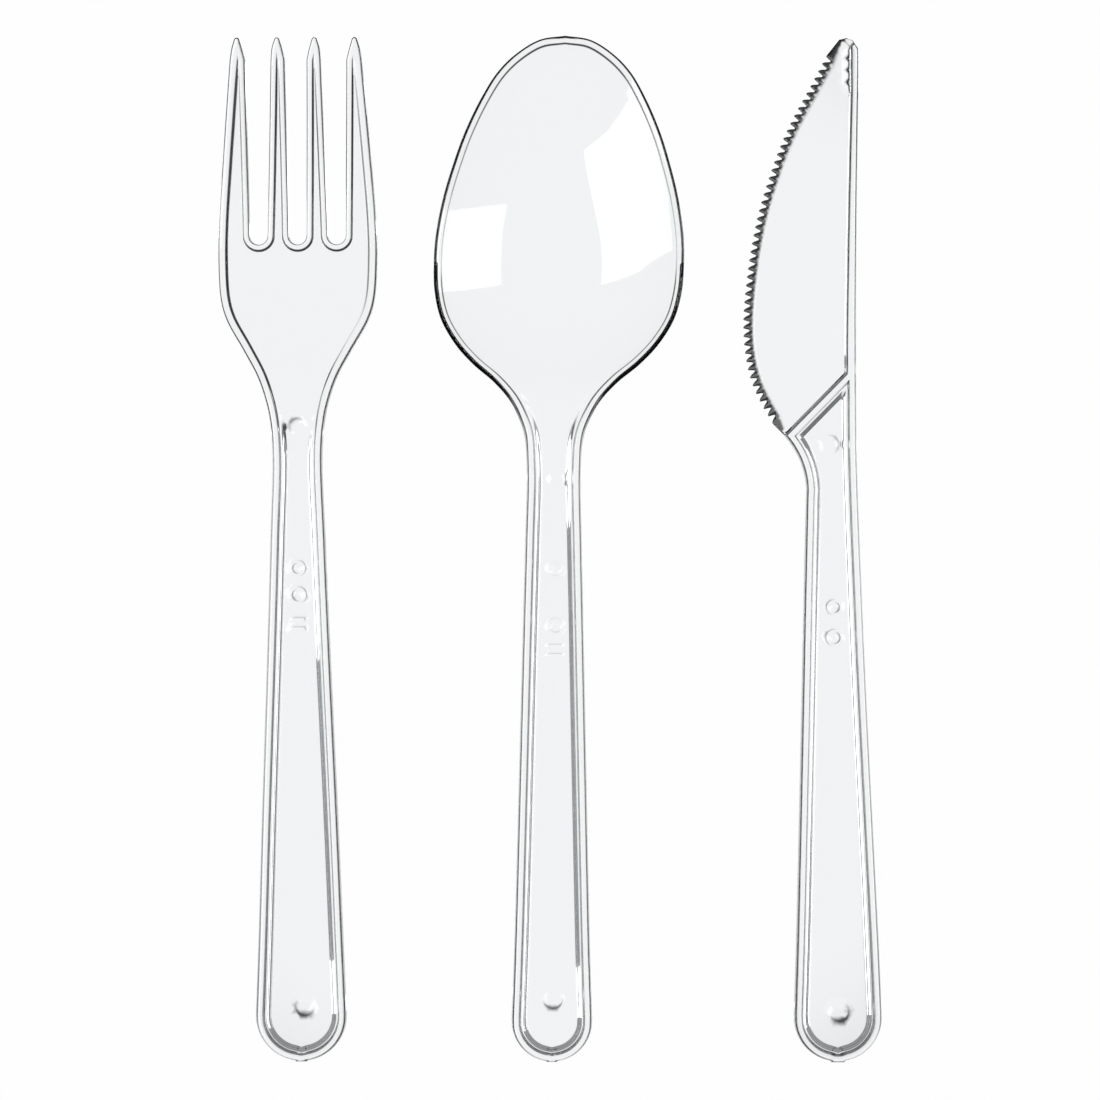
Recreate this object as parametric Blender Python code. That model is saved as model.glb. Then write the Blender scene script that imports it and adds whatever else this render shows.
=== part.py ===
"""Clear plastic cutlery set: a fork, a spoon and a knife lying side by side.

Each piece is one injection moulding with a raised bead round its edge and a thin panel inside it.
Outlines and heights are written in millimetres and the finished meshes are scaled to metres.
+Y runs from the handle ends to the tines, the bowl and the blade tip, and +Z is up from the table.
In a piece's own frame the handle ends at y = 0 on the centre line x = 0.
"""

import math

import bmesh
import bpy
from mathutils import Matrix, Vector

MM = 0.001
ON_AXIS = 0.001
# An inset point is dropped if it comes nearer to the outline than this share of the inset.
INSET_KEPT = 0.98

# Section of every handle: a flat panel at mid height between two beads.
HANDLE_HEIGHT = 3.0
MID = HANDLE_HEIGHT / 2
PANEL_HALF = 0.6
EDGE_CHAMFER = 0.3
UNDERSIDE_INSET = 2.4
CUT_PAST = 1.0
ABOVE = HANDLE_HEIGHT + CUT_PAST
BELOW = -CUT_PAST

# Fork, right half from the handle end to the outer tine: (half width, y).
FORK_LENGTH = 179.4
FORK_END_RADIUS = 8.0
FORK_SIDE = [
    (8.0, 8.2), (7.5, 21.1), (6.75, 42.2), (5.5, 73.9), (4.87, 91.5), (4.42, 106.5), (4.9, 112.6),
    (5.75, 116.4), (7.1, 120.2), (9.5, 124.7), (12.5, 130.1), (13.55, 133.7), (14.0, 140.5),
    (13.85, 147.7), (13.1, 158.0), (12.2, 168.8), (11.6, 175.5),
]
FORK_BEAD = 1.4
FORK_HEAD_BEAD = 1.55
TINE_SHOULDER_Y = 175.5
TINE_TIP_RADIUS = 0.5
OUTER_TIP_X = 10.3
INNER_TIP_X = 3.28
SLOT_BOTTOM_Y = 143.5
SLOT_BEAD = 1.27
# Each slot: centre x of its round bottom, its radius, then its two sides at the shoulder.
SIDE_SLOT = (6.85, 1.47, 4.45, 8.8)
MIDDLE_SLOT = (0.0, 1.45, -1.85, 1.85)
FORK_UNDERSIDE_END_Y = 112.0
# Underside height of the fork's beads along its length: (y, z).
FORK_SWEEP = [
    (0, 0), (14, 0), (45, 2.6), (80, 6.4), (104, 8.3), (116, 7.7), (128, 3.9), (138, 0.7), (144, 0.0),
    (151, 0.5), (161, 2.8), (171, 6.1), (180, 9.4),
]
# Share of the handle's bead height that is left along the fork: (y, share).
FORK_BEAD_SHARE = [(0, 1), (108, 1), (128, 0.62), (160, 0.55), (172, 0.4), (180, 0.0)]

# Spoon, right half from the handle end to the bowl's tip.
SPOON_END_RADIUS = 7.1
SPOON_SIDE = [
    (7.1, 7.6), (6.65, 21.3), (5.8, 56.4), (5.31, 77.5), (4.97, 91.6), (4.75, 103.5), (5.22, 109.9),
    (6.3, 113.0), (7.95, 116.0), (10.8, 119.2), (14.6, 122.4), (17.8, 125.9), (20.4, 130.3),
    (21.6, 135.0), (21.9, 139.8), (21.7, 144.8), (20.57, 151.6), (18.84, 157.9), (17.1, 163.0),
    (14.4, 168.9), (11.6, 173.5), (8.4, 176.7), (4.4, 179.1), (0.0, 179.8),
]
SPOON_BEAD = 1.45
BOWL_START_Y = 108.0
BOWL_HALF_WIDTH = 21.9
BOWL_DEPTH = 8.35
BOWL_FULLNESS = 1.35
BOWL_CANT = 0.0245
SPOON_SWEEP = [
    (0, 0), (14, 0), (45, 2.4), (80, 6.3), (104, 9.2), (118, 9.6), (135, 8.55), (155, 8.2), (180, 9.6),
]
SPOON_BEAD_SHARE = [(0, 1), (104, 1), (124, 0.75), (136, 0.62), (140, 0.35), (180, 0.3)]
SPOON_UNDER_SHARE = [(0, 1), (104, 1), (124, 0.0), (180, 0.0)]

# Knife: right side from the handle end up the back to the tip, the spine's inner side going down,
# then the left side of the handle from the bolster to the end.
KNIFE_END_RADIUS = 7.75
KNIFE_BACK = [
    (7.75, 8.2), (7.19, 21.2), (5.08, 63.4), (4.45, 77.5), (3.6, 98.6), (3.35, 107.4), (3.25, 120.9),
    (3.22, 133.7), (3.43, 158.4), (3.71, 176.4),
]
SPINE_TIP = [(3.6, 178.0), (2.9, 179.0), (2.1, 178.4)]
SPINE_INNER = [(2.15, 170.0), (1.87, 158.4), (1.4, 133.7), (1.25, 120.9)]
KNIFE_BELLY = [
    (-9.45, 110.0), (-8.14, 108.3), (-6.85, 106.0), (-6.0, 103.5), (-5.62, 101.0), (-5.66, 98.6),
    (-6.12, 77.5), (-6.4, 63.4), (-7.35, 21.2), (-7.75, 8.2),
]
KNIFE_BEAD = 1.35
# Share of the bead height left along the knife: the spine is lower than the handle.
SPINE_LOW_Y = 125.0
KNIFE_BEAD_SHARE = [(0, 1), (120.9, 1), (SPINE_LOW_Y, 0.6), (180, 0.3)]
# Blade: back, hidden in the spine, then the tip and the cutting edge going down to the bolster.
BLADE_BACK = [(2.0, 120.6), (2.3, 133.7), (2.6, 158.4), (2.8, 177.6)]
BLADE_TIP = [(2.6, 179.4), (1.5, 179.8), (0.2, 179.5)]
BLADE_EDGE = [
    (-2.09, 176.6), (-4.9, 171.3), (-7.8, 166.0), (-10.18, 160.8), (-12.18, 155.2), (-13.87, 149.6),
    (-15.15, 143.7), (-16.0, 137.9), (-16.6, 131.5), (-16.6, 127.4), (-16.12, 123.0), (-14.93, 118.6),
    (-13.2, 115.0), (-11.5, 112.1),
]
BLADE_ROOT = [(-9.1, 110.15), (-8.3, 110.25)]
BLADE_HALF = 0.6
BLADE_EDGE_HALF = 0.2
BLADE_BEVEL = 2.2
TOOTH_PITCH = 1.48
TOOTH_DEPTH = 1.1

# Where each handle ends on the table and how far it is turned from +Y, in degrees.
FORK_PLACE = (-43.58, -89.71, 0.27)
SPOON_PLACE = (0.37, -89.84, -0.19)
KNIFE_PLACE = (50.63, -89.80, 0.0)

CLEAR_PLASTIC = (0.90, 0.92, 0.93, 1.0)
PLASTIC_IOR = 1.59


def smooth(knots, steps=3):
    """Points on a centripetal Catmull-Rom curve through these knots."""
    points = [Vector(k) for k in knots]
    points = [2 * points[0] - points[1], *points, 2 * points[-1] - points[-2]]
    path = []
    for before, start, end, after in zip(points, points[1:], points[2:], points[3:]):
        t0 = 0.0
        t1 = t0 + math.sqrt((start - before).length)
        t2 = t1 + math.sqrt((end - start).length)
        t3 = t2 + math.sqrt((after - end).length)
        for step in range(steps):
            t = t1 + (t2 - t1) * step / steps
            a1 = before.lerp(start, (t - t0) / (t1 - t0))
            a2 = start.lerp(end, (t - t1) / (t2 - t1))
            a3 = end.lerp(after, (t - t2) / (t3 - t2))
            b1 = a1.lerp(a2, (t - t0) / (t2 - t0))
            b2 = a2.lerp(a3, (t - t1) / (t3 - t1))
            path.append(b1.lerp(b2, (t - t1) / (t2 - t1)))
    return [tuple(p) for p in path] + [tuple(knots[-1])]


def arc(centre, radius, start, end, steps):
    """Points on an arc between two angles in degrees, ends included."""
    angles = [math.radians(start + (end - start) * i / steps) for i in range(steps + 1)]
    return [(centre[0] + radius * math.cos(a), centre[1] + radius * math.sin(a)) for a in angles]


def mirrored(half):
    """The closed outline of a right half that starts and ends on the centre line."""
    return half + [(-x, y) for x, y in reversed(half) if x > ON_AXIS]


def profile(knots, y):
    """Smooth height through (y, value) knots, by cubic Hermite spans with limited slopes."""
    if y <= knots[0][0]:
        return knots[0][1]
    if y >= knots[-1][0]:
        return knots[-1][1]
    slopes = [(b[1] - a[1]) / (b[0] - a[0]) for a, b in zip(knots, knots[1:])]
    tangents = [slopes[0]]
    for left, right in zip(slopes, slopes[1:]):
        tangents.append(0.0 if left * right <= 0 else 2 * left * right / (left + right))
    tangents.append(slopes[-1])
    i = max(k for k in range(len(slopes)) if knots[k][0] <= y)
    span = knots[i + 1][0] - knots[i][0]
    t = (y - knots[i][0]) / span
    return (
        knots[i][1] * (1 + 2 * t) * (1 - t) ** 2
        + tangents[i] * span * t * (1 - t) ** 2
        + knots[i + 1][1] * t * t * (3 - 2 * t)
        + tangents[i + 1] * span * t * t * (t - 1)
    )


def inset(outline, distance):
    """The closed outline, which runs anticlockwise, moved inwards by distance(point)."""
    moved = []
    count = len(outline)
    for i, point in enumerate(outline):
        here = Vector(point)
        into = (here - Vector(outline[i - 1])).normalized()
        out = (Vector(outline[(i + 1) % count]) - here).normalized()
        normal = Vector((-into.y - out.y, into.x + out.x)).normalized()
        stretch = max(0.5, normal.dot(Vector((-into.y, into.x))))
        step = distance(point)
        shifted = here + normal * step / stretch
        if far_enough(shifted, outline, INSET_KEPT * step):
            moved.append(tuple(shifted))
    return moved


def beside(path, distance):
    """Points at this distance to the left of an open path, one for each span."""
    moved = []
    for start, end in zip(path, path[1:]):
        along = (Vector(end) - Vector(start)).normalized()
        middle = (Vector(start) + Vector(end)) / 2
        moved.append(tuple(middle + Vector((-along.y, along.x)) * distance))
    return moved


def far_enough(point, outline, distance):
    """Whether a point keeps this distance from every side of the outline."""
    ends = zip(outline, outline[1:] + outline[:1])
    return all(gap(Vector(point), Vector(a), Vector(b)) > distance for a, b in ends)


def gap(point, start, end):
    """Distance from a point to a straight side."""
    side = end - start
    along = max(0.0, min(1.0, (point - start).dot(side) / side.length_squared))
    return (point - start - side * along).length


def handle_end(radius):
    """The right half of a round handle end."""
    return arc((0, radius), radius, -90, -6, 7)


def slab(name, outline, low, high, chamfer=0.0):
    """A flat solid of this outline between two heights, made from a filled 2D curve."""
    curve = bpy.data.curves.new(name, "CURVE")
    curve.dimensions = "2D"
    curve.fill_mode = "BOTH"
    curve.extrude = (high - low) / 2 - chamfer
    curve.bevel_depth = chamfer
    curve.bevel_resolution = 0
    curve.offset = -chamfer
    spline = curve.splines.new("POLY")
    spline.points.add(len(outline) - 1)
    for point, (x, y) in zip(spline.points, outline):
        point.co = (x, y, 0, 1)
    spline.use_cyclic_u = True
    source = bpy.data.objects.new(name, curve)
    bpy.context.scene.collection.objects.link(source)
    graph = bpy.context.evaluated_depsgraph_get()
    mesh = bpy.data.meshes.new_from_object(source.evaluated_get(graph))
    bpy.data.objects.remove(source)
    mesh.transform(Matrix.Translation((0, 0, (low + high) / 2)))
    tidy = bmesh.new()
    tidy.from_mesh(mesh)
    bmesh.ops.remove_doubles(tidy, verts=tidy.verts, dist=1e-4)
    bmesh.ops.recalc_face_normals(tidy, faces=tidy.faces)
    tidy.to_mesh(mesh)
    tidy.free()
    solid = bpy.data.objects.new(name, mesh)
    bpy.context.scene.collection.objects.link(solid)
    return solid


def combine(solid, tool, operation, solver="EXACT"):
    """Cuts solid with tool or joins them, and takes the tool away."""
    modifier = solid.modifiers.new(tool.name, "BOOLEAN")
    modifier.operation = operation
    modifier.object = tool
    modifier.solver = solver
    graph = bpy.context.evaluated_depsgraph_get()
    result = bpy.data.meshes.new_from_object(solid.evaluated_get(graph))
    solid.modifiers.clear()
    solid.data = result
    bpy.data.objects.remove(tool)


def merge_flat_faces(bm):
    bmesh.ops.dissolve_limit(
        bm, angle_limit=math.radians(0.05), verts=bm.verts, edges=bm.edges, use_dissolve_boundaries=False
    )


def cross_cut(bm, origin, normal, keep=lambda face: True):
    """Adds edges where a plane crosses the faces that keep picks."""
    faces = [f for f in bm.faces if keep(f)]
    edges = {e for f in faces for e in f.edges}
    verts = {v for f in faces for v in f.verts}
    bmesh.ops.bisect_plane(
        bm, geom=[*verts, *edges, *faces], dist=1e-4, plane_co=origin, plane_no=normal
    )


def shape(solid, stations, bowl_columns, place):
    """Cross-cuts the flat solid, moves each vertex by place(co) and splits what is left bent."""
    bm = bmesh.new()
    bm.from_mesh(solid.data)
    merge_flat_faces(bm)
    for y in stations:
        cross_cut(bm, (0, y, 0), (0, 1, 0))
    for x in bowl_columns:
        cross_cut(bm, (x, 0, 0), (1, 0, 0), lambda f: f.calc_center_median().y > BOWL_START_Y)
    for vertex in bm.verts:
        vertex.co = place(vertex.co)
    bmesh.ops.triangulate(bm, faces=bm.faces)
    bm.to_mesh(solid.data)
    bm.free()


def section_height(z, top_share, under_share):
    """Height above mid section once the beads are lowered to their share."""
    above = abs(z - MID)
    share = top_share if z > MID else under_share
    kept = min(above, PANEL_HALF) + max(above - PANEL_HALF, 0) * share
    return math.copysign(kept, z - MID)


def frange(start, stop, step):
    count = int(round((stop - start) / step))
    return [start + i * step for i in range(count + 1)]


def tine_tip(x, shoulder_out, shoulder_in):
    """From the shoulder on the +X side, over the rounded tip, to the shoulder on the other side."""
    centre = (x, FORK_LENGTH - TINE_TIP_RADIUS)
    return [(shoulder_out, TINE_SHOULDER_Y)] + arc(centre, TINE_TIP_RADIUS, 20, 160, 4) + [
        (shoulder_in, TINE_SHOULDER_Y)
    ]


def slot_bottom(slot, grow=0.0, start=0, end=-180):
    centre_x, radius, _, _ = slot
    return arc((centre_x, SLOT_BOTTOM_Y + radius), radius + grow, start, end, 8)


def slot_blank(slot, grow):
    """The outline of a slot with its bead, run out past the tine tips."""
    _, _, low_x, high_x = slot
    past = 3.0
    top = [(high_x + grow, TINE_SHOULDER_Y), (high_x + grow + past, FORK_LENGTH + past)]
    far = [(low_x - grow - past, FORK_LENGTH + past), (low_x - grow, TINE_SHOULDER_Y)]
    return slot_bottom(slot, grow, -180, 0) + top + far


def fork_half():
    half = handle_end(FORK_END_RADIUS) + smooth(FORK_SIDE)[:-1]
    half += tine_tip(OUTER_TIP_X, FORK_SIDE[-1][0], SIDE_SLOT[3])
    half += slot_bottom(SIDE_SLOT)
    half += tine_tip(INNER_TIP_X, SIDE_SLOT[2], MIDDLE_SLOT[3])
    half += slot_bottom(MIDDLE_SLOT, 0.0, 0, -90)
    return half


def fork():
    """The fork, flat at first, then swept up at the neck and again towards the tips."""
    body = slab("fork", mirrored(fork_half()), 0, HANDLE_HEIGHT, EDGE_CHAMFER)
    envelope = handle_end(FORK_END_RADIUS) + smooth(FORK_SIDE)
    envelope += [(OUTER_TIP_X + 1.2, FORK_LENGTH), (0.0, FORK_LENGTH)]

    def bead(point):
        return FORK_BEAD if point[1] < FORK_SIDE[6][1] else FORK_HEAD_BEAD

    panel_top = slab("fork_panel", inset(mirrored(envelope), bead), MID + PANEL_HALF, ABOVE)
    mirror_slot = (-SIDE_SLOT[0], SIDE_SLOT[1], -SIDE_SLOT[3], -SIDE_SLOT[2])
    for slot in (SIDE_SLOT, MIDDLE_SLOT, mirror_slot):
        keep = slab("slot_bead", slot_blank(slot, SLOT_BEAD), MID, ABOVE + CUT_PAST)
        combine(panel_top, keep, "DIFFERENCE")
    combine(body, panel_top, "DIFFERENCE")

    under = handle_end(FORK_END_RADIUS)
    under += [p for p in smooth(FORK_SIDE) if p[1] < FORK_UNDERSIDE_END_Y]
    under += [(0.0, FORK_UNDERSIDE_END_Y + 3.0)]
    outline = inset(mirrored(under), lambda point: UNDERSIDE_INSET)
    combine(body, slab("fork_underside", outline, BELOW, MID - PANEL_HALF), "DIFFERENCE")

    def place(co):
        share = profile(FORK_BEAD_SHARE, co.y)
        z = section_height(co.z, share, share)
        lowest = section_height(0.0, share, share)
        return (co.x, co.y, profile(FORK_SWEEP, co.y) + z - lowest)

    stations = frange(14, 98, 12) + frange(104, 176, 3.6)
    shape(body, stations, [], place)
    return body


def spoon_half_width(y):
    """Half the spoon's width at y, off its side curve."""
    side = smooth(SPOON_SIDE)
    for (x0, y0), (x1, y1) in zip(side, side[1:]):
        if y0 <= y <= y1:
            return x0 + (x1 - x0) * (y - y0) / (y1 - y0)
    return 0.0


def bowl_drop(x, y):
    """How far the bowl's surface lies under its rim, zero on the outline."""
    fill = max(spoon_half_width(y) ** 2 - x * x, 0.0) / BOWL_HALF_WIDTH**2
    start = profile([(BOWL_START_Y - 6, 0), (BOWL_START_Y + 12, 1)], y)
    return BOWL_DEPTH * start * (1 - (1 - min(fill, 1.0)) ** BOWL_FULLNESS)


def spoon():
    """The spoon: an H-section handle that runs into a thin bowl, canted a little on the handle."""
    rim = mirrored(handle_end(SPOON_END_RADIUS) + smooth(SPOON_SIDE))
    body = slab("spoon", rim, 0, HANDLE_HEIGHT, EDGE_CHAMFER)
    panel = slab("spoon_panel", inset(rim, lambda point: SPOON_BEAD), MID + PANEL_HALF, ABOVE)
    combine(body, panel, "DIFFERENCE")
    under = mirrored(
        handle_end(SPOON_END_RADIUS)
        + [p for p in smooth(SPOON_SIDE) if p[1] < BOWL_START_Y]
        + [(0.0, BOWL_START_Y + 2.0)]
    )
    outline = inset(under, lambda point: UNDERSIDE_INSET)
    combine(body, slab("spoon_underside", outline, BELOW, MID - PANEL_HALF), "DIFFERENCE")

    def place(co):
        z = section_height(co.z, profile(SPOON_BEAD_SHARE, co.y), profile(SPOON_UNDER_SHARE, co.y))
        lowest = section_height(0.0, 1.0, profile(SPOON_UNDER_SHARE, co.y))
        cant = BOWL_CANT * max(0.0, co.y - BOWL_START_Y)
        return (co.x + cant, co.y, profile(SPOON_SWEEP, co.y) + z - lowest - bowl_drop(co.x, co.y))

    stations = frange(14, 98, 12) + frange(104, 176, 4.0)
    columns = frange(-19.2, 19.2, 3.2)
    shape(body, stations, columns, place)
    return body


def walk(path, distance):
    """The point this far along a path, and the direction there."""
    for start, end in zip(path, path[1:]):
        run = Vector(end) - Vector(start)
        if distance <= run.length:
            return Vector(start) + run.normalized() * distance, run.normalized()
        distance -= run.length
    return Vector(path[-1]), run.normalized()


def teeth(path):
    """The sawtooth outline along the cutting edge, from the tip to the heel."""
    length = sum((Vector(b) - Vector(a)).length for a, b in zip(path, path[1:]))
    count = round(length / TOOTH_PITCH)
    points = []
    for i in range(count):
        tip, _ = walk(path, length * i / count)
        root, along = walk(path, length * (i + 0.5) / count)
        points += [tuple(tip), tuple(root + Vector((-along.y, along.x)) * TOOTH_DEPTH)]
    return points + [path[-1]]


def blade():
    """The flat blade, ground thin towards its teeth from a line inside the cutting edge."""
    edge = smooth(BLADE_EDGE, 4)
    toothed = teeth(edge)
    ground = beside(edge, BLADE_BEVEL)[::2]
    bm = bmesh.new()
    corners = {}

    def corner(point, half):
        if point not in corners:
            corners[point] = bm.verts.new((*point, MID - half))
        return corners[point]

    line = [corner(point, BLADE_HALF) for point in [BLADE_TIP[-1], *ground, BLADE_ROOT[0]]]
    back = [corner(point, BLADE_HALF) for point in smooth(BLADE_BACK) + BLADE_TIP[:-1]]
    root = [corner(point, BLADE_HALF) for point in BLADE_ROOT[1:]]
    tips = [corner(point, BLADE_EDGE_HALF) for point in toothed]
    bm.faces.new(back + line + root)
    bm.faces.new(tips + line[::-1])
    bmesh.ops.triangulate(bm, faces=bm.faces)
    made = bmesh.ops.extrude_face_region(bm, geom=bm.faces[:])
    for vertex in [thing for thing in made["geom"] if isinstance(thing, bmesh.types.BMVert)]:
        vertex.co.z = 2 * MID - vertex.co.z
    bmesh.ops.recalc_face_normals(bm, faces=bm.faces)
    mesh = bpy.data.meshes.new("blade")
    bm.to_mesh(mesh)
    bm.free()
    solid = bpy.data.objects.new("blade", mesh)
    bpy.context.scene.collection.objects.link(solid)
    return solid


def knife():
    """The knife: an H-section handle with a bolster and a thick spine, and the blade set in them."""
    end = arc((0, KNIFE_END_RADIUS), KNIFE_END_RADIUS, 186, 354, 14)
    belly = smooth(KNIFE_BELLY)
    back = smooth(KNIFE_BACK)
    outline = end + back + SPINE_TIP + smooth(SPINE_INNER) + belly
    body = slab("knife", outline, 0, HANDLE_HEIGHT, EDGE_CHAMFER)
    bolster_y = SPINE_INNER[-1][1]
    handle = end + [p for p in back if p[1] <= bolster_y] + [SPINE_INNER[-1]] + belly
    panel = slab("knife_panel", inset(handle, lambda p: KNIFE_BEAD), MID + PANEL_HALF, ABOVE)
    combine(body, panel, "DIFFERENCE")
    under = slab("knife_underside", inset(handle, lambda p: UNDERSIDE_INSET), BELOW, MID - PANEL_HALF)
    combine(body, under, "DIFFERENCE")

    def place(co):
        share = profile(KNIFE_BEAD_SHARE, co.y)
        return (co.x, co.y, MID + section_height(co.z, share, share))

    combine(body, blade(), "UNION", "MANIFOLD")
    shape(body, [SPINE_LOW_Y], [], place)
    return body


def clear_plastic(name):
    """Clear polystyrene."""
    material = bpy.data.materials.new(name)
    material.use_nodes = True
    shader = material.node_tree.nodes["Principled BSDF"]
    shader.inputs["Base Color"].default_value = CLEAR_PLASTIC
    shader.inputs["Roughness"].default_value = 0.03
    shader.inputs["Metallic"].default_value = 0.0
    shader.inputs["IOR"].default_value = PLASTIC_IOR
    shader.inputs["Transmission Weight"].default_value = 1.0
    return material


def finish(solid, place, parent, collection):
    """Scales the piece to metres, smooths it, and lays it in its place under the set's empty."""
    x, y, turn = place
    solid.data.transform(Matrix.Scale(MM, 4))
    solid.data.materials.clear()
    solid.data.materials.append(clear_plastic(solid.name + "_plastic"))
    solid.data.shade_smooth()
    solid.data.set_sharp_from_angle(angle=math.radians(30))
    solid.location = (x * MM, y * MM, 0)
    solid.rotation_euler = (0, 0, math.radians(turn))
    solid.parent = parent
    bpy.context.scene.collection.objects.unlink(solid)
    collection.objects.link(solid)


def centre_on_origin(parent, solids):
    """Moves the set so that its box is centred on the origin and stands at z = 0."""
    bpy.context.view_layer.update()
    corners = [s.matrix_world @ v.co for s in solids for v in s.data.vertices]
    low = [min(c[k] for c in corners) for k in range(3)]
    high = [max(c[k] for c in corners) for k in range(3)]
    parent.location = (-(low[0] + high[0]) / 2, -(low[1] + high[1]) / 2, -low[2])


def main():
    for thing in list(bpy.data.objects):
        bpy.data.objects.remove(thing)
    collection = bpy.data.collections.new("plastic_cutlery_pack")
    bpy.context.scene.collection.children.link(collection)
    parent = bpy.data.objects.new("cutlery_set", None)
    collection.objects.link(parent)
    pieces = [(fork(), FORK_PLACE), (spoon(), SPOON_PLACE), (knife(), KNIFE_PLACE)]
    for solid, place in pieces:
        finish(solid, place, parent, collection)
    centre_on_origin(parent, [solid for solid, _ in pieces])


main()
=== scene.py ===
"""Looks of the clear plastic cutlery set: finely modelled fork, spoon and knife, stage, lights and camera.

Each piece is one closed shell: a top sheet and an underside that share the outline. Outlines and sections are
in millimetres in the piece's own frame, where the handle ends at y = 0 on x = 0 and +Y runs to the tines,
bowl or blade tip. The finished mesh is scaled to metres and laid over its CAD node.
"""

import math

import bpy
import numpy as np
from mathutils import Matrix, Vector
from mathutils.geometry import delaunay_2d_cdt


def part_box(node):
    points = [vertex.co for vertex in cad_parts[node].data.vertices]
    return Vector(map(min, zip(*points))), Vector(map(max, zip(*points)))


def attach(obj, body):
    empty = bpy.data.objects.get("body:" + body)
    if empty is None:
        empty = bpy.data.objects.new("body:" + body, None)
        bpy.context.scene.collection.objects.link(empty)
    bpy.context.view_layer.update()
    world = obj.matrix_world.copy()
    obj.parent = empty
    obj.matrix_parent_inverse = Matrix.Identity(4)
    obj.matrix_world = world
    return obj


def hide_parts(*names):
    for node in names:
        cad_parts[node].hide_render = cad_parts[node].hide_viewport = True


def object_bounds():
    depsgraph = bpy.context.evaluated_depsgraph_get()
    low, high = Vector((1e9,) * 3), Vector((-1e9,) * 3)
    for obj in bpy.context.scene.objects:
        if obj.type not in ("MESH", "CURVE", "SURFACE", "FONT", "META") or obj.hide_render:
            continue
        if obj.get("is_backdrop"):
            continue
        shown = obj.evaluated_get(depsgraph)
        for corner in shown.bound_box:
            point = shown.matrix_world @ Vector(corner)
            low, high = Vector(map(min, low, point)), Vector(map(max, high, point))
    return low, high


MM = 0.001
PITCH = 0.4

# Section through a bead, by depth in from the outline in mm.
TOP_RINGS = [
    0.0, 0.07, 0.14, 0.21, 0.28, 0.36, 0.46, 0.6, 0.8, 1.0, 1.12, 1.2, 1.28, 1.36, 1.44, 1.52, 1.6, 1.68,
    1.76, 1.86, 2.0,
]
UNDER_RINGS = [0.0, 0.06, 0.15, 0.3, 0.9, 1.5, 1.8, 1.88, 2.2, 2.58, 2.66, 2.85]
OUTER_WALL = [(0.0, 0.0), (1.0, 0.84), (1.3, 0.93), (1.7, 0.98), (2.3, 1.0)]
INNER_WALL = [(-0.5, 1.0), (-0.2, 0.985), (0.0, 0.95), (0.12, 0.87), (0.88, 0.1), (1.0, 0.03), (1.25, 0.0)]
EDGE_Z = 0.25
UNDER_EDGE = [(0.0, 1.0), (0.06, 0.5), (0.15, 0.12), (0.3, 0.0)]
UNDER_SLOPE = [(1.8, 0.0), (1.88, 0.05), (2.58, 0.95), (2.66, 1.0)]
PANEL_THICK = 1.2
EJECTOR_SINK = -0.1
MARK_RISE = 0.14
BEAD_PROUD = 0.9

FORK_LENGTH = 179.4
FORK_END_RADIUS = 8.0
FORK_SIDE = [
    (8.0, 8.2), (7.5, 21.1), (6.75, 42.2), (5.5, 73.9), (4.87, 91.5), (4.42, 106.5), (4.9, 112.6),
    (5.75, 116.4), (7.1, 120.2), (9.5, 124.7), (12.5, 130.1), (13.55, 133.7), (14.0, 140.5),
    (13.85, 147.7), (13.1, 158.0), (12.2, 168.8), (11.6, 175.5),
]
TINE_SHOULDER_Y = 175.5
TINE_TIP_RADIUS = 0.5
OUTER_TIP_X = 10.3
INNER_TIP_X = 3.28
SLOT_BOTTOM_Y = 143.5
SLOT_BEAD_SHARE = 0.77
SIDE_SLOT = (6.85, 1.47, 4.45, 8.8)
MIDDLE_SLOT = (0.0, 1.45, -1.85, 1.85)
FORK_SWEEP = [
    (0, 0), (14, 0), (45, 2.6), (80, 6.4), (104, 8.3), (116, 7.7), (128, 3.9), (138, 0.7), (144, 0.0),
    (151, 0.5), (161, 2.8), (171, 6.1), (180, 9.4),
]
FORK_BEAD_SHARE = [(0, 1), (108, 1), (128, 0.62), (160, 0.55), (172, 0.4), (180, 0.0)]
FORK_UNDER_SHARE = [(0, 1), (106, 1), (116, 0), (180, 0)]

SPOON_END_RADIUS = 7.1
SPOON_SIDE = [
    (7.1, 7.6), (6.65, 21.3), (5.8, 56.4), (5.31, 77.5), (4.97, 91.6), (4.75, 103.5), (5.22, 109.9),
    (6.3, 113.0), (7.95, 116.0), (10.8, 119.2), (14.6, 122.4), (17.8, 125.9), (20.4, 130.3),
    (21.6, 135.0), (21.9, 139.8), (21.7, 144.8), (20.57, 151.6), (18.84, 157.9), (17.1, 163.0),
    (14.4, 168.9), (11.6, 173.5), (8.4, 176.7), (4.4, 179.1), (0.0, 179.8),
]
BOWL_START_Y = 108.0
BOWL_HALF_WIDTH = 21.9
BOWL_DEPTH = 8.35
BOWL_FULLNESS = 1.35
BOWL_CANT = 0.0245
SPOON_SWEEP = [
    (0, 0), (14, 0), (45, 2.4), (80, 6.3), (104, 9.2), (118, 9.6), (135, 8.55), (155, 8.2), (180, 9.6),
]
SPOON_BEAD_SHARE = [(0, 1), (104, 1), (124, 0.75), (136, 0.62), (140, 0.35), (180, 0.3)]
SPOON_UNDER_SHARE = [(0, 1), (104, 1), (124, 0.0), (180, 0.0)]

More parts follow.
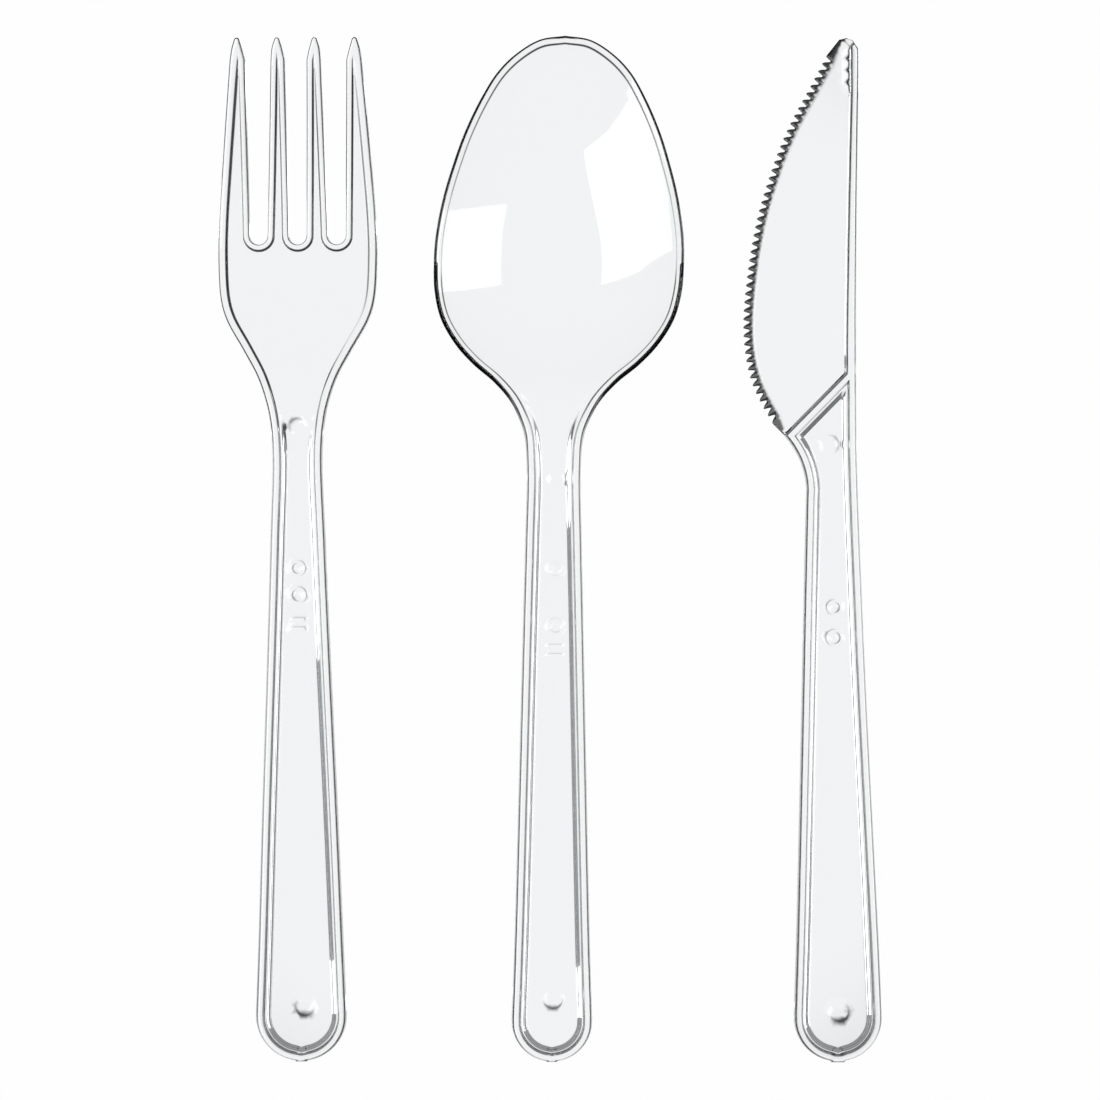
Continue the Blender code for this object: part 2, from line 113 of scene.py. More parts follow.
KNIFE_END_RADIUS = 7.75
KNIFE_BACK = [
    (7.75, 8.2), (7.19, 21.2), (5.08, 63.4), (4.45, 77.5), (3.6, 98.6), (3.35, 107.4), (3.25, 120.9),
    (3.22, 133.7), (3.43, 158.4), (3.71, 176.4),
]
SPINE_TIP = [(3.6, 178.0), (2.9, 179.0), (2.1, 178.4)]
SPINE_INNER = [(2.15, 170.0), (1.87, 158.4), (1.4, 133.7), (1.25, 120.9)]
KNIFE_BELLY = [
    (-9.45, 110.0), (-8.14, 108.3), (-6.85, 106.0), (-6.0, 103.5), (-5.62, 101.0), (-5.66, 98.6),
    (-6.12, 77.5), (-6.4, 63.4), (-7.35, 21.2), (-7.75, 8.2),
]
KNIFE_BEAD_SHARE = [(0, 1), (120.9, 1), (125, 0.6), (180, 0.3)]
BLADE_TIP = [(2.6, 179.4), (1.5, 179.8), (0.2, 179.5)]
BLADE_EDGE = [
    (-2.09, 176.6), (-4.9, 171.3), (-7.8, 166.0), (-10.18, 160.8), (-12.18, 155.2), (-13.87, 149.6),
    (-15.15, 143.7), (-16.0, 137.9), (-16.6, 131.5), (-16.6, 127.4), (-16.12, 123.0), (-14.93, 118.6),
    (-13.2, 115.0), (-11.5, 112.1),
]
BLADE_HALF = 0.6
BLADE_EDGE_HALF = 0.2
BLADE_BEVEL = 2.2
TOOTH_PITCH = 1.48
TOOTH_DEPTH = 1.1


# The view's width in metres and the lens in mm, then the stage in metres.
FRAME_WIDTH = 0.1934
LENS = 300.0
TABLE_DEPTH = 0.3
TABLE_BRIGHT = 0.1
TABLE_REACH = 0.2
# Brightness of the room by height, from straight down (0) through the horizon (0.5) to overhead (1).
ROOM = [(0.0, 0.03), (1.0, 0.4), (0.4, 0.03), (0.5, 0.3), (0.65, 0.35)]


def smooth(knots, pitch=PITCH):
    """Points about a pitch apart on a centripetal Catmull-Rom curve through these knots."""
    points = [Vector(k) for k in knots]
    points = [2 * points[0] - points[1], *points, 2 * points[-1] - points[-2]]
    path = []
    for before, start, end, after in zip(points, points[1:], points[2:], points[3:]):
        t0 = 0.0
        t1 = t0 + math.sqrt((start - before).length)
        t2 = t1 + math.sqrt((end - start).length)
        t3 = t2 + math.sqrt((after - end).length)
        steps = max(1, round((end - start).length / pitch))
        for step in range(steps):
            t = t1 + (t2 - t1) * step / steps
            a1 = before.lerp(start, (t - t0) / (t1 - t0))
            a2 = start.lerp(end, (t - t1) / (t2 - t1))
            a3 = end.lerp(after, (t - t2) / (t3 - t2))
            b1 = a1.lerp(a2, (t - t0) / (t2 - t0))
            b2 = a2.lerp(a3, (t - t1) / (t3 - t1))
            path.append(tuple(b1.lerp(b2, (t - t1) / (t2 - t1))))
    return path + [tuple(knots[-1])]


def arc(centre, radius, start, end, steps):
    """Points on an arc between two angles in degrees, ends included."""
    angles = [math.radians(start + (end - start) * i / steps) for i in range(steps + 1)]
    return [(centre[0] + radius * math.cos(a), centre[1] + radius * math.sin(a)) for a in angles]


def mirrored(half):
    """The closed outline of a right half that starts and ends on the centre line."""
    return half + [(-x, y) for x, y in reversed(half) if x > 0.001]


def dense(path, pitch=PITCH, closed=True):
    """The path with its long straight runs split into steps of about a pitch."""
    points = []
    ends = path[1:] + (path[:1] if closed else [])
    for start, end in zip(path, ends):
        length = math.dist(start, end)
        count = max(1, round(length / pitch))
        for i in range(count):
            t = i / count
            points.append((start[0] + (end[0] - start[0]) * t, start[1] + (end[1] - start[1]) * t))
    return points if closed else points + [path[-1]]


def profile(knots, y):
    """Smooth values through (y, value) knots at an array of y, by Hermite spans with limited slopes."""
    x = np.array([k[0] for k in knots], float)
    v = np.array([k[1] for k in knots], float)
    slopes = np.diff(v) / np.diff(x)
    left, right = slopes[:-1], slopes[1:]
    total = np.where(left + right == 0, 1.0, left + right)
    inner = np.where(left * right <= 0, 0.0, 2 * left * right / total)
    tangents = np.concatenate([slopes[:1], inner, slopes[-1:]])
    y = np.clip(y, x[0], x[-1])
    i = np.clip(np.searchsorted(x, y, side="right") - 1, 0, len(slopes) - 1)
    span = x[i + 1] - x[i]
    t = (y - x[i]) / span
    return (
        v[i] * (1 + 2 * t) * (1 - t) ** 2
        + tangents[i] * span * t * (1 - t) ** 2
        + v[i + 1] * t * t * (3 - 2 * t)
        + tangents[i + 1] * span * t * t * (t - 1)
    )


def along(knots, values):
    """Straight interpolation through (value, share) knots."""
    return np.interp(values, [k[0] for k in knots], [k[1] for k in knots])


def clearance(points, outline, widths):
    """Distance from each point to the closed outline, in units of the bead width at the nearest side."""
    points, start = np.asarray(points, float), np.asarray(outline, float)
    side = np.roll(start, -1, axis=0) - start
    length2 = (side**2).sum(1)
    result = np.empty(len(points))
    for low in range(0, len(points), 2000):
        part = points[low : low + 2000]
        rel = part[:, None, :] - start[None, :, :]
        t = np.clip((rel * side).sum(2) / length2, 0, 1)
        gap = np.sqrt(((rel - side * t[:, :, None]) ** 2).sum(2))
        result[low : low + 2000] = (gap / widths).min(1)
    return result


def inside(points, outline):
    """Whether each point lies inside the closed outline."""
    points, a = np.asarray(points, float), np.asarray(outline, float)
    b = np.roll(a, -1, axis=0)
    found = np.zeros(len(points), bool)
    for (x0, y0), (x1, y1) in zip(a, b):
        if y0 == y1:
            continue
        crosses = (points[:, 1] > min(y0, y1)) & (points[:, 1] <= max(y0, y1))
        at = x0 + (points[:, 1] - y0) * (x1 - x0) / (y1 - y0)
        found ^= crosses & (points[:, 0] < at)
    return found


def ring(outline, widths, depth):
    """The closed outline moved inwards by depth bead widths, without the points that would cross."""
    if depth == 0:
        return [tuple(p) for p in outline]
    here = np.asarray(outline, float)
    into = here - np.roll(here, 1, axis=0)
    out = np.roll(into, -1, axis=0)
    into = into / np.linalg.norm(into, axis=1)[:, None]
    out = out / np.linalg.norm(out, axis=1)[:, None]
    left = np.stack([-into[:, 1], into[:, 0]], 1)
    normal = left + np.stack([-out[:, 1], out[:, 0]], 1)
    normal /= np.linalg.norm(normal, axis=1)[:, None]
    stretch = np.maximum(0.5, (normal * left).sum(1))
    moved = here + normal * (depth * widths / stretch)[:, None]
    kept = clearance(moved, outline, widths) > depth * 0.97
    return [tuple(p) for p in moved[kept]]


class Sheet:
    """A flat triangulation that follows given lines, each vertex with its depth in from the outline."""

    def __init__(self):
        self.points, self.depths, self.edges = [], [], []

    def loop(self, points, depth=np.nan, closed=True):
        first = len(self.points)
        self.points += points
        self.depths += [depth] * len(points)
        last = len(self.points) - 1
        self.edges += [(i, i + 1) for i in range(first, last)]
        if closed:
            self.edges.append((last, first))
        return list(range(first, last + 1))

    def cut(self, outline, outline_widths, rim):
        """Returns vertex positions, depths and triangles inside the first loop, rim."""
        found = delaunay_2d_cdt([Vector(p) for p in self.points], self.edges, [], 0, 1e-5, True)
        verts, _, faces, origins = found[:4]
        flat = np.array([tuple(v) for v in verts])
        faces = np.array(faces)
        faces = faces[inside(flat[faces].mean(1), np.array(self.points)[rim])]
        depth = np.full(len(flat), np.nan)
        for i, origin in enumerate(origins):
            known = [self.depths[k] for k in origin if not math.isnan(self.depths[k])]
            if known:
                depth[i] = min(known)
        unknown = np.isnan(depth)
        if unknown.any():
            depth[unknown] = clearance(flat[unknown], outline, outline_widths)
        return flat, depth, faces


def grid(outline, widths, spacing, low_depth, keep_off=()):
    """Staggered points over the inside of the outline, deeper than low_depth and off the details."""
    box = np.asarray(outline, float)
    low, high = box.min(0), box.max(0)
    rows = []
    for j, y in enumerate(np.arange(low[1], high[1], spacing * 0.87)):
        start = low[0] + (spacing / 2 if j % 2 else 0)
        rows += [(x, y) for x in np.arange(start, high[0], spacing)]
    points = np.array(rows)
    points = points[inside(points, outline)]
    points = points[clearance(points, outline, widths) > low_depth]
    for mark in keep_off:
        points = points[np.abs(mark.gap(points)) > 0.25]
    return [tuple(p) for p in points]


class Mark:
    """A raised or sunk capsule or disc on the panel: its centre line's ends, its radius and its rise."""

    EDGE = 0.04

    def __init__(self, start, end, radius, rise):
        self.start, self.end = np.array(start, float), np.array(end, float)
        self.radius, self.rise = radius, rise

    def gap(self, points):
        """How far inside the mark's edge each point lies."""
        points = np.asarray(points, float)
        side = self.end - self.start
        length2 = max((side**2).sum(), 1e-12)
        t = np.clip(((points - self.start) @ side) / length2, 0, 1)
        return self.radius - np.linalg.norm(points - self.start - t[:, None] * side, axis=1)

    def height(self, points):
        return self.rise * np.clip(self.gap(points) / (2 * self.EDGE) + 0.5, 0, 1)

    def loops(self):
        side = self.end - self.start
        heading = math.degrees(math.atan2(side[1], side[0]))
        round_steps = max(8, round(self.radius * 12))
        for offset in (self.EDGE, -self.EDGE):
            radius = self.radius + offset
            if np.allclose(side, 0):
                yield arc(self.start, radius, 0, 360, 2 * round_steps)[:-1]
            else:
                ends = arc(self.end, radius, heading - 90, heading + 90, round_steps)
                ends += arc(self.start, radius, heading + 90, heading + 270, round_steps)
                yield dense(ends)


def disc(centre, radius, rise):
    return Mark(centre, centre, radius, rise)


def hoop(centre, outer, inner, rise):
    return [disc(centre, outer, rise), disc(centre, inner, -rise)]


def layered(outline, widths, depths, spacing, marks=(), lines=()):
    """A sheet with a ring at each depth, the marks' edges and extra lines, and a grid in the middle."""
    sheet = Sheet()
    rim = sheet.loop([tuple(p) for p in outline], 0.0)
    for depth in depths[1:]:
        points = ring(outline, widths, depth)
        if len(points) > 2:
            sheet.loop(points, depth)
    for mark in marks:
        for points in mark.loops():
            sheet.loop(points)
    for line in lines:
        sheet.loop(line, closed=False)
    middle = grid(outline, widths, spacing, depths[-1] + 0.3, marks)
    sheet.points += middle
    sheet.depths += [np.nan] * len(middle)
    return sheet.cut(outline, widths, rim)


def shell(name, outline, top, under):
    """One closed mesh from two (flat, faces, heights) sheets that share the outline's vertices."""
    flat_top, faces_top, z_top = top
    flat_under, faces_under, z_under = under
    key = {tuple(np.round(p, 4)): i for i, p in enumerate(flat_top)}
    verts = np.column_stack([flat_top, z_top])
    rim = {tuple(np.round(p, 4)) for p in outline}
    index, extra = [], []
    for p, z in zip(flat_under, z_under):
        where = tuple(np.round(p, 4))
        if where in rim and where in key:
            index.append(key[where])
        else:
            index.append(len(verts) + len(extra))
            extra.append((*p, z))
    verts = np.vstack([verts, extra])
    faces = [tuple(f) for f in faces_top] + [tuple(index[i] for i in reversed(f)) for f in faces_under]
    mesh = bpy.data.meshes.new(name)
    mesh.from_pydata([tuple(v) for v in verts], [], faces)
    mesh.validate()
    mesh.update()
    mesh.shade_smooth()
    return mesh


def section_top(depth, height, panel, outer=0.22, roundness=0.3, start=1.28, width=0.27):
    """Top surface from the edge over the bead to the panel, with the widths of its two walls."""
    t = np.where(depth < outer, depth / outer, 1 + (depth - outer) / roundness)
    dip = 1 - along(INNER_WALL, (depth - start) / width)
    return EDGE_Z + (height - EDGE_Z) * along(OUTER_WALL, t) - (height - panel) * dip


def section_under(depth, recess):
    """Underside from the edge, over the bead's flat, up to the panel's recess."""
    return np.where(depth < 1, EDGE_Z * along(UNDER_EDGE, depth), recess * along(UNDER_SLOPE, depth))


def handle_end(radius, gate):
    """Right half of a round handle end, with the broken stub of the gate it was filled through."""
    half_width, proud = gate
    start = math.degrees(math.acos(half_width / radius))
    y = radius - math.sqrt(radius**2 - half_width**2)
    stub = [(0.0, -proud), (half_width - 0.15, -proud), (half_width, y - 0.1)]
    return stub + arc((0, radius), radius, -start, -6, round(radius * math.radians(start) / PITCH))


def tine_tip(x, shoulder_out, shoulder_in):
    centre = (x, FORK_LENGTH - TINE_TIP_RADIUS)
    tip = arc(centre, TINE_TIP_RADIUS, 12, 168, 7)
    right = smooth([(shoulder_out, TINE_SHOULDER_Y), (x + 0.95, FORK_LENGTH - 1.9), tip[0]], 0.3)
    left = smooth([tip[-1], (x - 0.95, FORK_LENGTH - 1.9), (shoulder_in, TINE_SHOULDER_Y)], 0.3)
    return right + tip[1:-1] + left


def slot_bottom(slot, start, end, steps):
    centre_x, radius, _, _ = slot
    return arc((centre_x, SLOT_BOTTOM_Y + radius), radius, start, end, steps)


def in_slot(x, y):
    """Whether an outline point lies on the side of a slot and not on the outside of the head."""
    return abs(x) < OUTER_TIP_X - 0.4 + (FORK_LENGTH - y) * 0.02 and abs(x) < 9.9


def fork():
    half = handle_end(FORK_END_RADIUS, (1.1, 0.15)) + smooth(FORK_SIDE)[:-1]
    half += tine_tip(OUTER_TIP_X, FORK_SIDE[-1][0], SIDE_SLOT[3])
    half += slot_bottom(SIDE_SLOT, 0, -180, 14)
    half += tine_tip(INNER_TIP_X, SIDE_SLOT[2], MIDDLE_SLOT[3])
    half += slot_bottom(MIDDLE_SLOT, 0, -90, 7)
    outline = dense(mirrored(half))
    slot_side = np.array([y > SLOT_BOTTOM_Y - 0.5 and in_slot(x, y) for x, y in outline])
    widths = np.where(slot_side, SLOT_BEAD_SHARE, 1.0)
    marks = [disc((0.0, 111.4), 1.45, EJECTOR_SINK), disc((0.65, 9.7), 1.7, EJECTOR_SINK)]
    marks += hoop((0.0, 86.6), 1.35, 1.0, MARK_RISE) + hoop((0.0, 81.9), 1.45, 1.1, MARK_RISE)
    marks += [Mark((-0.9, y), (0.9, y), 0.35, MARK_RISE) for y in (77.6, 76.0)]
    flat, depth, faces = layered(outline, widths, TOP_RINGS, 1.2, marks)
    share = profile(FORK_BEAD_SHARE, flat[:, 1])
    under_share = profile(FORK_UNDER_SHARE, flat[:, 1])
    panel = PANEL_THICK + BEAD_PROUD * share
    head = profile([(110, 0), (128, 1)], flat[:, 1])
    z = section_top(
        depth,
        panel + BEAD_PROUD * share,
        panel,
        outer=0.24 - 0.08 * head,
        roundness=0.3 + 0.15 * head,
        width=0.27 + 0.21 * head,
    )
    z += profile(FORK_SWEEP, flat[:, 1])
    for mark in marks:
        z += mark.height(flat)
    top = (flat, faces, z)
    flat, depth, faces = layered(outline, widths, UNDER_RINGS, 1.2)
    share = profile(FORK_BEAD_SHARE, flat[:, 1]) * profile(FORK_UNDER_SHARE, flat[:, 1])
    z = section_under(depth, BEAD_PROUD * share) + profile(FORK_SWEEP, flat[:, 1])
    return shell("fork_clear", outline, top, (flat, faces, z))


def spoon():
    half = handle_end(SPOON_END_RADIUS, (1.0, 0.1)) + smooth(SPOON_SIDE)
    outline = dense(mirrored(half))
    widths = np.ones(len(outline))
    side = np.array(smooth(SPOON_SIDE))

    def raised(flat, depth_z):
        """Adds the sweep and the bowl to the section's heights."""
        x, y = flat[:, 0], flat[:, 1]
        half_width = np.interp(y, side[:, 1], side[:, 0])
        fill = np.clip((half_width**2 - x * x) / BOWL_HALF_WIDTH**2, 0, 1)
        start = profile([(BOWL_START_Y - 6, 0), (BOWL_START_Y + 12, 1)], y)
        drop = BOWL_DEPTH * start * (1 - (1 - fill) ** BOWL_FULLNESS)
        return depth_z + profile(SPOON_SWEEP, y) - drop

    marks = [disc((0.5, 102.4), 1.64, EJECTOR_SINK), disc((0.2, 11.1), 1.7, EJECTOR_SINK)]
    marks += hoop((0.4, 86.4), 1.35, 1.0, MARK_RISE) + hoop((0.4, 76.6), 1.45, 1.1, MARK_RISE)
    marks += [Mark((-0.6, y), (1.3, y), 0.35, MARK_RISE) for y in (73.1, 71.5)]
    flat, depth, faces = layered(outline, widths, TOP_RINGS, 1.0, marks)
    y = flat[:, 1]
    under = profile(SPOON_UNDER_SHARE, y)
    panel = PANEL_THICK + BEAD_PROUD * under
    heel = profile([(104, 0), (122, 1)], y) * (y < 139.9)
    tip = profile([(120, 0), (141, 1)], y)
    height = panel + BEAD_PROUD * profile(SPOON_BEAD_SHARE, y)
    z = section_top(depth, height, panel, 0.22 + 0.3 * heel, 0.3, 1.28 - 0.1 * tip, 0.3)
    for mark in marks:
        z += mark.height(flat)
    top = (flat, faces, raised(flat, z))
    flat, depth, faces = layered(outline, widths, UNDER_RINGS, 1.0)
    z = section_under(depth, BEAD_PROUD * profile(SPOON_UNDER_SHARE, flat[:, 1]))
    mesh = shell("spoon_clear", outline, top, (flat, faces, raised(flat, z)))
    for vertex in mesh.vertices:
        vertex.co.x += BOWL_CANT * max(0.0, vertex.co.y - BOWL_START_Y)
    return mesh


def walk(path, distance):
    """The point this far along a path, and the direction there."""
    for start, end in zip(path, path[1:]):
        run = Vector(end) - Vector(start)
        if distance <= run.length:
            return Vector(start) + run.normalized() * distance, run.normalized()
        distance -= run.length
    return Vector(path[-1]), run.normalized()


# One tooth of the edge, from crest to crest going to the heel: (share of pitch, share of depth).
TOOTH = [
    (0.0, 0.0), (0.06, 0.08), (0.12, 0.32), (0.18, 0.66), (0.24, 0.92), (0.3, 1.0), (0.37, 0.97),
    (0.45, 0.84), (0.55, 0.59), (0.66, 0.35), (0.78, 0.16), (0.9, 0.03),
]


def teeth(path):
    """The toothed outline along the cutting edge, from the tip to the heel."""
    length = sum(math.dist(a, b) for a, b in zip(path, path[1:]))
    count = round(length / TOOTH_PITCH)
    points = []
    for i in range(count):
        for share, depth in TOOTH:
            at, heading = walk(path, length * (i + share) / count)
            points.append(tuple(at + Vector((-heading.y, heading.x)) * TOOTH_DEPTH * depth))
    return points + [path[-1]]


def knife():
    end = handle_end(KNIFE_END_RADIUS, (1.3, 0.2))
    end = [(-x, y) for x, y in reversed(end)][:-1] + end
    back, inner, belly = smooth(KNIFE_BACK), smooth(SPINE_INNER), smooth(KNIFE_BELLY)
    edge = smooth(BLADE_EDGE)
    bolster = dense([inner[-1], belly[0]], closed=False)[1:-1]
    spine = dense(SPINE_TIP[1:] + [inner[0]], closed=False)[:-1]
    handle = dense(end + back + SPINE_TIP[:1] + spine + inner + bolster + belly)
    whole = end + back + SPINE_TIP[:2] + dense(BLADE_TIP, closed=False) + teeth(edge) + belly
    whole = dense(whole)
    handle_widths, whole_widths = np.ones(len(handle)), np.ones(len(whole))
    joint = [p for p in inner + bolster if p[1] < 178]
    feet = [offset_line(joint, -offset) for offset in (0.1, 0.2, 0.4)]
    bevel_lines = [offset_line(edge, BLADE_BEVEL + offset) for offset in (-0.2, 0.0, 0.2)]
    marks = [disc((-1.5, 108.4), 1.69, EJECTOR_SINK), disc((0.2, 8.8), 1.69, EJECTOR_SINK)]
    marks += hoop((-0.7, 79.8), 1.35, 1.0, MARK_RISE) + hoop((-0.7, 74.5), 1.45, 1.1, MARK_RISE)

    def half(depths, spacing, section, marks=()):
        sheet = Sheet()
        rim = sheet.loop([tuple(p) for p in whole])
        for depth in depths:
            points = ring(handle, handle_widths, depth)
            if len(points) > 2:
                sheet.loop(points)
        for mark in marks:
            for points in mark.loops():
                sheet.loop(points)
        for line in [*feet, *bevel_lines]:
            sheet.loop(line, closed=False)
        for gap in (0.04, 0.1):
            rounding = np.array(ring(whole, whole_widths, gap))
            off_handle = ~inside(rounding, handle) & (clearance(rounding, handle, handle_widths) > 0.15)
            sheet.points += [tuple(p) for p in rounding[off_handle]]
            sheet.depths += [np.nan] * int(off_handle.sum())
        middle = grid(handle, handle_widths, spacing, depths[-1] + 0.3, marks)
        blade_grid = np.array(grid(whole, whole_widths, spacing, 1.3))
        blade_grid = blade_grid[~inside(blade_grid, handle)]
        blade_grid = blade_grid[clearance(blade_grid, handle, handle_widths) > 0.6]
        blade_grid = blade_grid[np.abs(open_distance(blade_grid, edge) - BLADE_BEVEL) > 0.45]
        middle += [tuple(p) for p in blade_grid]
        sheet.points += middle
        sheet.depths += [np.nan] * len(middle)
        flat, _, faces = sheet.cut(handle, handle_widths, rim)
        depth = clearance(flat, handle, handle_widths)
        in_handle = inside(flat, handle) | (depth < 0.01)
        ground = np.clip(open_distance(flat, edge) / BLADE_BEVEL, 0, 1)
        blade = BLADE_EDGE_HALF + (BLADE_HALF - BLADE_EDGE_HALF) * ground
        blade *= along([(0, 0), (0.04, 0.75), (0.1, 1)], clearance(flat, whole, whole_widths))
        share = profile(KNIFE_BEAD_SHARE, flat[:, 1])
        z = section(flat, depth, share, in_handle, blade)
        return flat, faces, z

    def top_section(flat, depth, share, in_handle, blade):
        height = PANEL_THICK / 2 + BEAD_PROUD * share
        bead = section_top(depth, 2 * height, height + PANEL_THICK / 2) - height
        joint = bead_at_joint(flat)
        bead = np.where(joint & (depth < 0.01), np.maximum(bead, height * 0.75), bead)
        z = np.where(in_handle, bead, blade)
        for mark in marks:
            z = z + mark.height(flat)
        return z + 1.5

    def under_section(flat, depth, share, in_handle, blade):
        height = PANEL_THICK / 2 + BEAD_PROUD * share
        bead = section_under(depth, BEAD_PROUD * share) - height
        return np.where(in_handle, bead, -blade) + 1.5

    def bead_at_joint(flat):
        """Whether a point lies on the inner side of the spine or bolster, where the blade grows out."""
        return open_distance(flat, inner + bolster) < 0.02

    top = half(TOP_RINGS, 1.2, top_section, marks)
    under = half(UNDER_RINGS, 1.2, under_section)
    return shell("knife_clear", whole, top, under)


def unit_left(a, b):
    """Unit vector to the left of the step from a to b."""
    run = np.array(b) - np.array(a)
    run = run / np.linalg.norm(run)
    return np.array([-run[1], run[0]])


def offset_line(path, distance):
    """Points at this distance to the left of the middle of each step of an open path."""
    steps = [(np.array(a), np.array(b)) for a, b in zip(path, path[1:])]
    return [tuple((a + b) / 2 + distance * unit_left(a, b)) for a, b in steps]


def open_distance(points, path):
    """Distance from each point to an open path."""
    start, end = np.array(path[:-1], float), np.array(path[1:], float)
    side = end - start
    length2 = (side**2).sum(1)
    result = np.empty(len(points))
    for low in range(0, len(points), 4000):
        rel = points[low : low + 4000][:, None, :] - start[None]
        t = np.clip((rel * side).sum(2) / length2, 0, 1)
        result[low : low + 4000] = np.sqrt(((rel - side * t[:, :, None]) ** 2).sum(2)).min(1)
    return result


def clear_plastic(name):
    """Clear polystyrene: faintly wavy where the melt flowed, with a little haze and fine scuffs."""
    material = bpy.data.materials.new(name)
    material.use_nodes = True
    nodes, links = material.node_tree.nodes, material.node_tree.links
    shader = nodes["Principled BSDF"]
    shader.inputs["Base Color"].default_value = (0.945, 0.958, 0.968, 1.0)
    shader.inputs["IOR"].default_value = 1.59
    shader.inputs["Transmission Weight"].default_value = 1.0
    place = nodes.new("ShaderNodeTexCoord")
    haze = nodes.new("ShaderNodeTexNoise")
    haze.inputs["Scale"].default_value = 140.0
    haze.inputs["Detail"].default_value = 4.0
    ramp = nodes.new("ShaderNodeMapRange")
    ramp.inputs["From Min"].default_value = 0.45
    ramp.inputs["From Max"].default_value = 0.8
    ramp.inputs["To Min"].default_value = 0.012
    ramp.inputs["To Max"].default_value = 0.06
    links.new(place.outputs["Object"], haze.inputs["Vector"])
    links.new(haze.outputs["Fac"], ramp.inputs["Value"])
    links.new(ramp.outputs["Result"], shader.inputs["Roughness"])
    flow = nodes.new("ShaderNodeTexNoise")
    flow.inputs["Scale"].default_value = 90.0
    flow.inputs["Detail"].default_value = 2.0
    bump = nodes.new("ShaderNodeBump")
    bump.inputs["Strength"].default_value = 0.12
    bump.inputs["Distance"].default_value = 0.0002
    links.new(place.outputs["Object"], flow.inputs["Vector"])
    links.new(flow.outputs["Fac"], bump.inputs["Height"])
    links.new(bump.outputs["Normal"], shader.inputs["Normal"])
    return material


def lay(mesh, node, turn, material):
    mesh.transform(Matrix.Rotation(math.radians(turn), 4, "Z") @ Matrix.Scale(MM, 4))
    co = np.empty(len(mesh.vertices) * 3, np.float32)
    mesh.vertices.foreach_get("co", co)
    co = co.reshape(-1, 3)
    low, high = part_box(node)
    middle_x = (co[:, 0].min() + co[:, 0].max()) / 2
    shift = Vector(((low.x + high.x) / 2 - middle_x, high.y - co[:, 1].max(), low.z))
    mesh.transform(Matrix.Translation(shift))
    mesh.materials.append(material)
    piece = bpy.data.objects.new(mesh.name, mesh)
    bpy.context.scene.collection.objects.link(piece)
    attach(piece, "root")
    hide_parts(node)
    return piece


def area_light(name, location, target, size, radiance, colour=(1, 1, 1)):
    """A soft rectangular lamp of the given radiance, aimed at a point."""
    data = bpy.data.lights.new(name, "AREA")
    data.shape = "RECTANGLE"
    data.size, data.size_y = size
    data.energy = radiance * math.pi * size[0] * size[1]
    data.color = colour
    lamp = bpy.data.objects.new(name, data)
    lamp.location = location
    lamp.rotation_euler = (Vector(target) - Vector(location)).to_track_quat("-Z", "Y").to_euler()
    lamp.visible_camera = False
    bpy.context.scene.collection.objects.link(lamp)
    return lamp


def plane(name, size, z):
    """A square stage piece facing up at height z."""
    half = size / 2
    mesh = bpy.data.meshes.new(name)
    corners = [(-half, -half, z), (half, -half, z), (half, half, z), (-half, half, z)]
    mesh.from_pydata(corners, [], [(0, 1, 2, 3)])
    made = bpy.data.objects.new(name, mesh)
    bpy.context.scene.collection.objects.link(made)
    made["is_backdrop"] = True
    return made


def stage_floor():
    """A white floor that only the camera sees, and the glowing table that the clear pieces show."""
    floor = plane("floor", 4.0, -0.0002)
    floor.visible_transmission = floor.visible_glossy = floor.visible_diffuse = False
    floor.visible_shadow = False
    white, nodes, links = bare_material("floor_white")
    glow = nodes.new("ShaderNodeEmission")
    glow.inputs["Color"].default_value = (0.99, 0.99, 0.99, 1)
    links.new(glow.outputs[0], nodes["out"].inputs["Surface"])
    floor.data.materials.append(white)
    table = plane("light_table", 2 * TABLE_REACH, -TABLE_DEPTH)
    table.visible_camera = False
    lit, nodes, links = bare_material("light_table")
    place = nodes.new("ShaderNodeTexCoord")
    distance = nodes.new("ShaderNodeVectorMath")
    distance.operation = "LENGTH"
    flatten = nodes.new("ShaderNodeVectorMath")
    flatten.operation = "MULTIPLY"
    flatten.inputs[1].default_value = (1, 1, 0)
    fade = nodes.new("ShaderNodeMapRange")
    fade.interpolation_type = "SMOOTHSTEP"
    fade.inputs["From Min"].default_value = TABLE_BRIGHT
    fade.inputs["From Max"].default_value = TABLE_REACH
    fade.inputs["To Min"].default_value = 1.0
    fade.inputs["To Max"].default_value = 0.04
    glow = nodes.new("ShaderNodeEmission")
    glow.inputs["Color"].default_value = (0.99, 0.99, 0.99, 1)
    links.new(place.outputs["Object"], flatten.inputs[0])
    links.new(flatten.outputs[0], distance.inputs[0])
    links.new(distance.outputs["Value"], fade.inputs["Value"])
    links.new(fade.outputs["Result"], glow.inputs["Strength"])
    links.new(glow.outputs[0], nodes["out"].inputs["Surface"])
    table.data.materials.append(lit)


def bare_material(name):
    material = bpy.data.materials.new(name)
    material.use_nodes = True
    nodes = material.node_tree.nodes
    nodes.clear()
    out = nodes.new("ShaderNodeOutputMaterial")
    out.name = "out"
    return material, nodes, material.node_tree.links


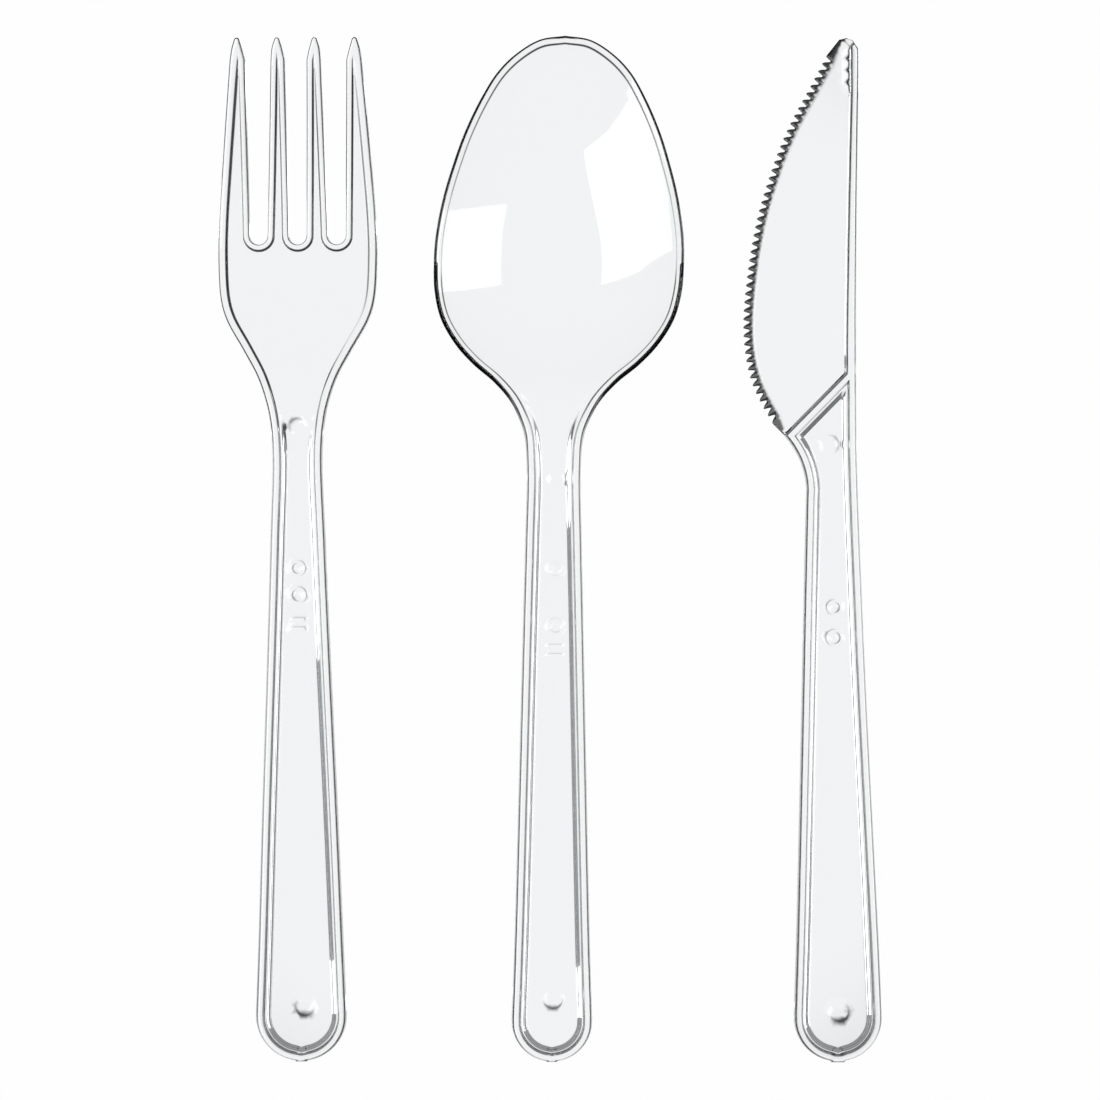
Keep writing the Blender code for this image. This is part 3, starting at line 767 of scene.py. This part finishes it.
def world_light():
    """A dim room: dark under the table, grey at its sides and paler overhead."""
    world = bpy.data.worlds.new("room")
    bpy.context.scene.world = world
    world.use_nodes = True
    nodes, links = world.node_tree.nodes, world.node_tree.links
    back = nodes["Background"]
    place = nodes.new("ShaderNodeTexCoord")
    split = nodes.new("ShaderNodeSeparateXYZ")
    height = nodes.new("ShaderNodeMapRange")
    height.inputs["From Min"].default_value = -1.0
    ramp = nodes.new("ShaderNodeValToRGB")
    for element, (position, value) in zip(ramp.color_ramp.elements, ROOM[:2]):
        element.position, element.color = position, (value * 0.96, value * 0.98, value, 1)
    for position, value in ROOM[2:]:
        ramp.color_ramp.elements.new(position).color = (value * 0.96, value * 0.98, value, 1)
    links.new(place.outputs["Generated"], split.inputs[0])
    links.new(split.outputs["Z"], height.inputs["Value"])
    links.new(height.outputs["Result"], ramp.inputs["Fac"])
    links.new(ramp.outputs["Color"], back.inputs["Color"])


def camera():
    low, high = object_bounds()
    data = bpy.data.cameras.new("camera")
    data.lens = LENS
    data.sensor_width = 36.0
    distance = FRAME_WIDTH * data.lens / data.sensor_width
    made = bpy.data.objects.new("camera", data)
    made.location = ((low[0] + high[0]) / 2, (low[1] + high[1]) / 2, distance)
    data.clip_end = 20.0
    bpy.context.scene.collection.objects.link(made)
    bpy.context.scene.camera = made


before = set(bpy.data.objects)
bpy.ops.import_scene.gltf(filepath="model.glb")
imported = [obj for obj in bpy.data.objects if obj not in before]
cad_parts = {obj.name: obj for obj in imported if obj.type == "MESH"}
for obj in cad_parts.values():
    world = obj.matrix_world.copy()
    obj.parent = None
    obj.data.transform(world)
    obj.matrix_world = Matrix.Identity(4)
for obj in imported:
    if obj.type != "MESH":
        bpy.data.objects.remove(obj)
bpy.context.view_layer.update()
camera()
for build, node, turn in ((fork, "fork", 0.27), (spoon, "spoon", -0.19), (knife, "knife", 0.0)):
    lay(build(), node, turn, clear_plastic(node + "_clear_plastic"))
stage_floor()
world_light()
bpy.context.scene.view_settings.view_transform = "Standard"
area_light("key_left", (-0.55, -0.1, 0.5), (0, 0, 0), (0.5, 0.9), 2.0)
area_light("key_right", (0.75, 0.05, 0.45), (0, 0, 0), (0.35, 0.9), 2.0)
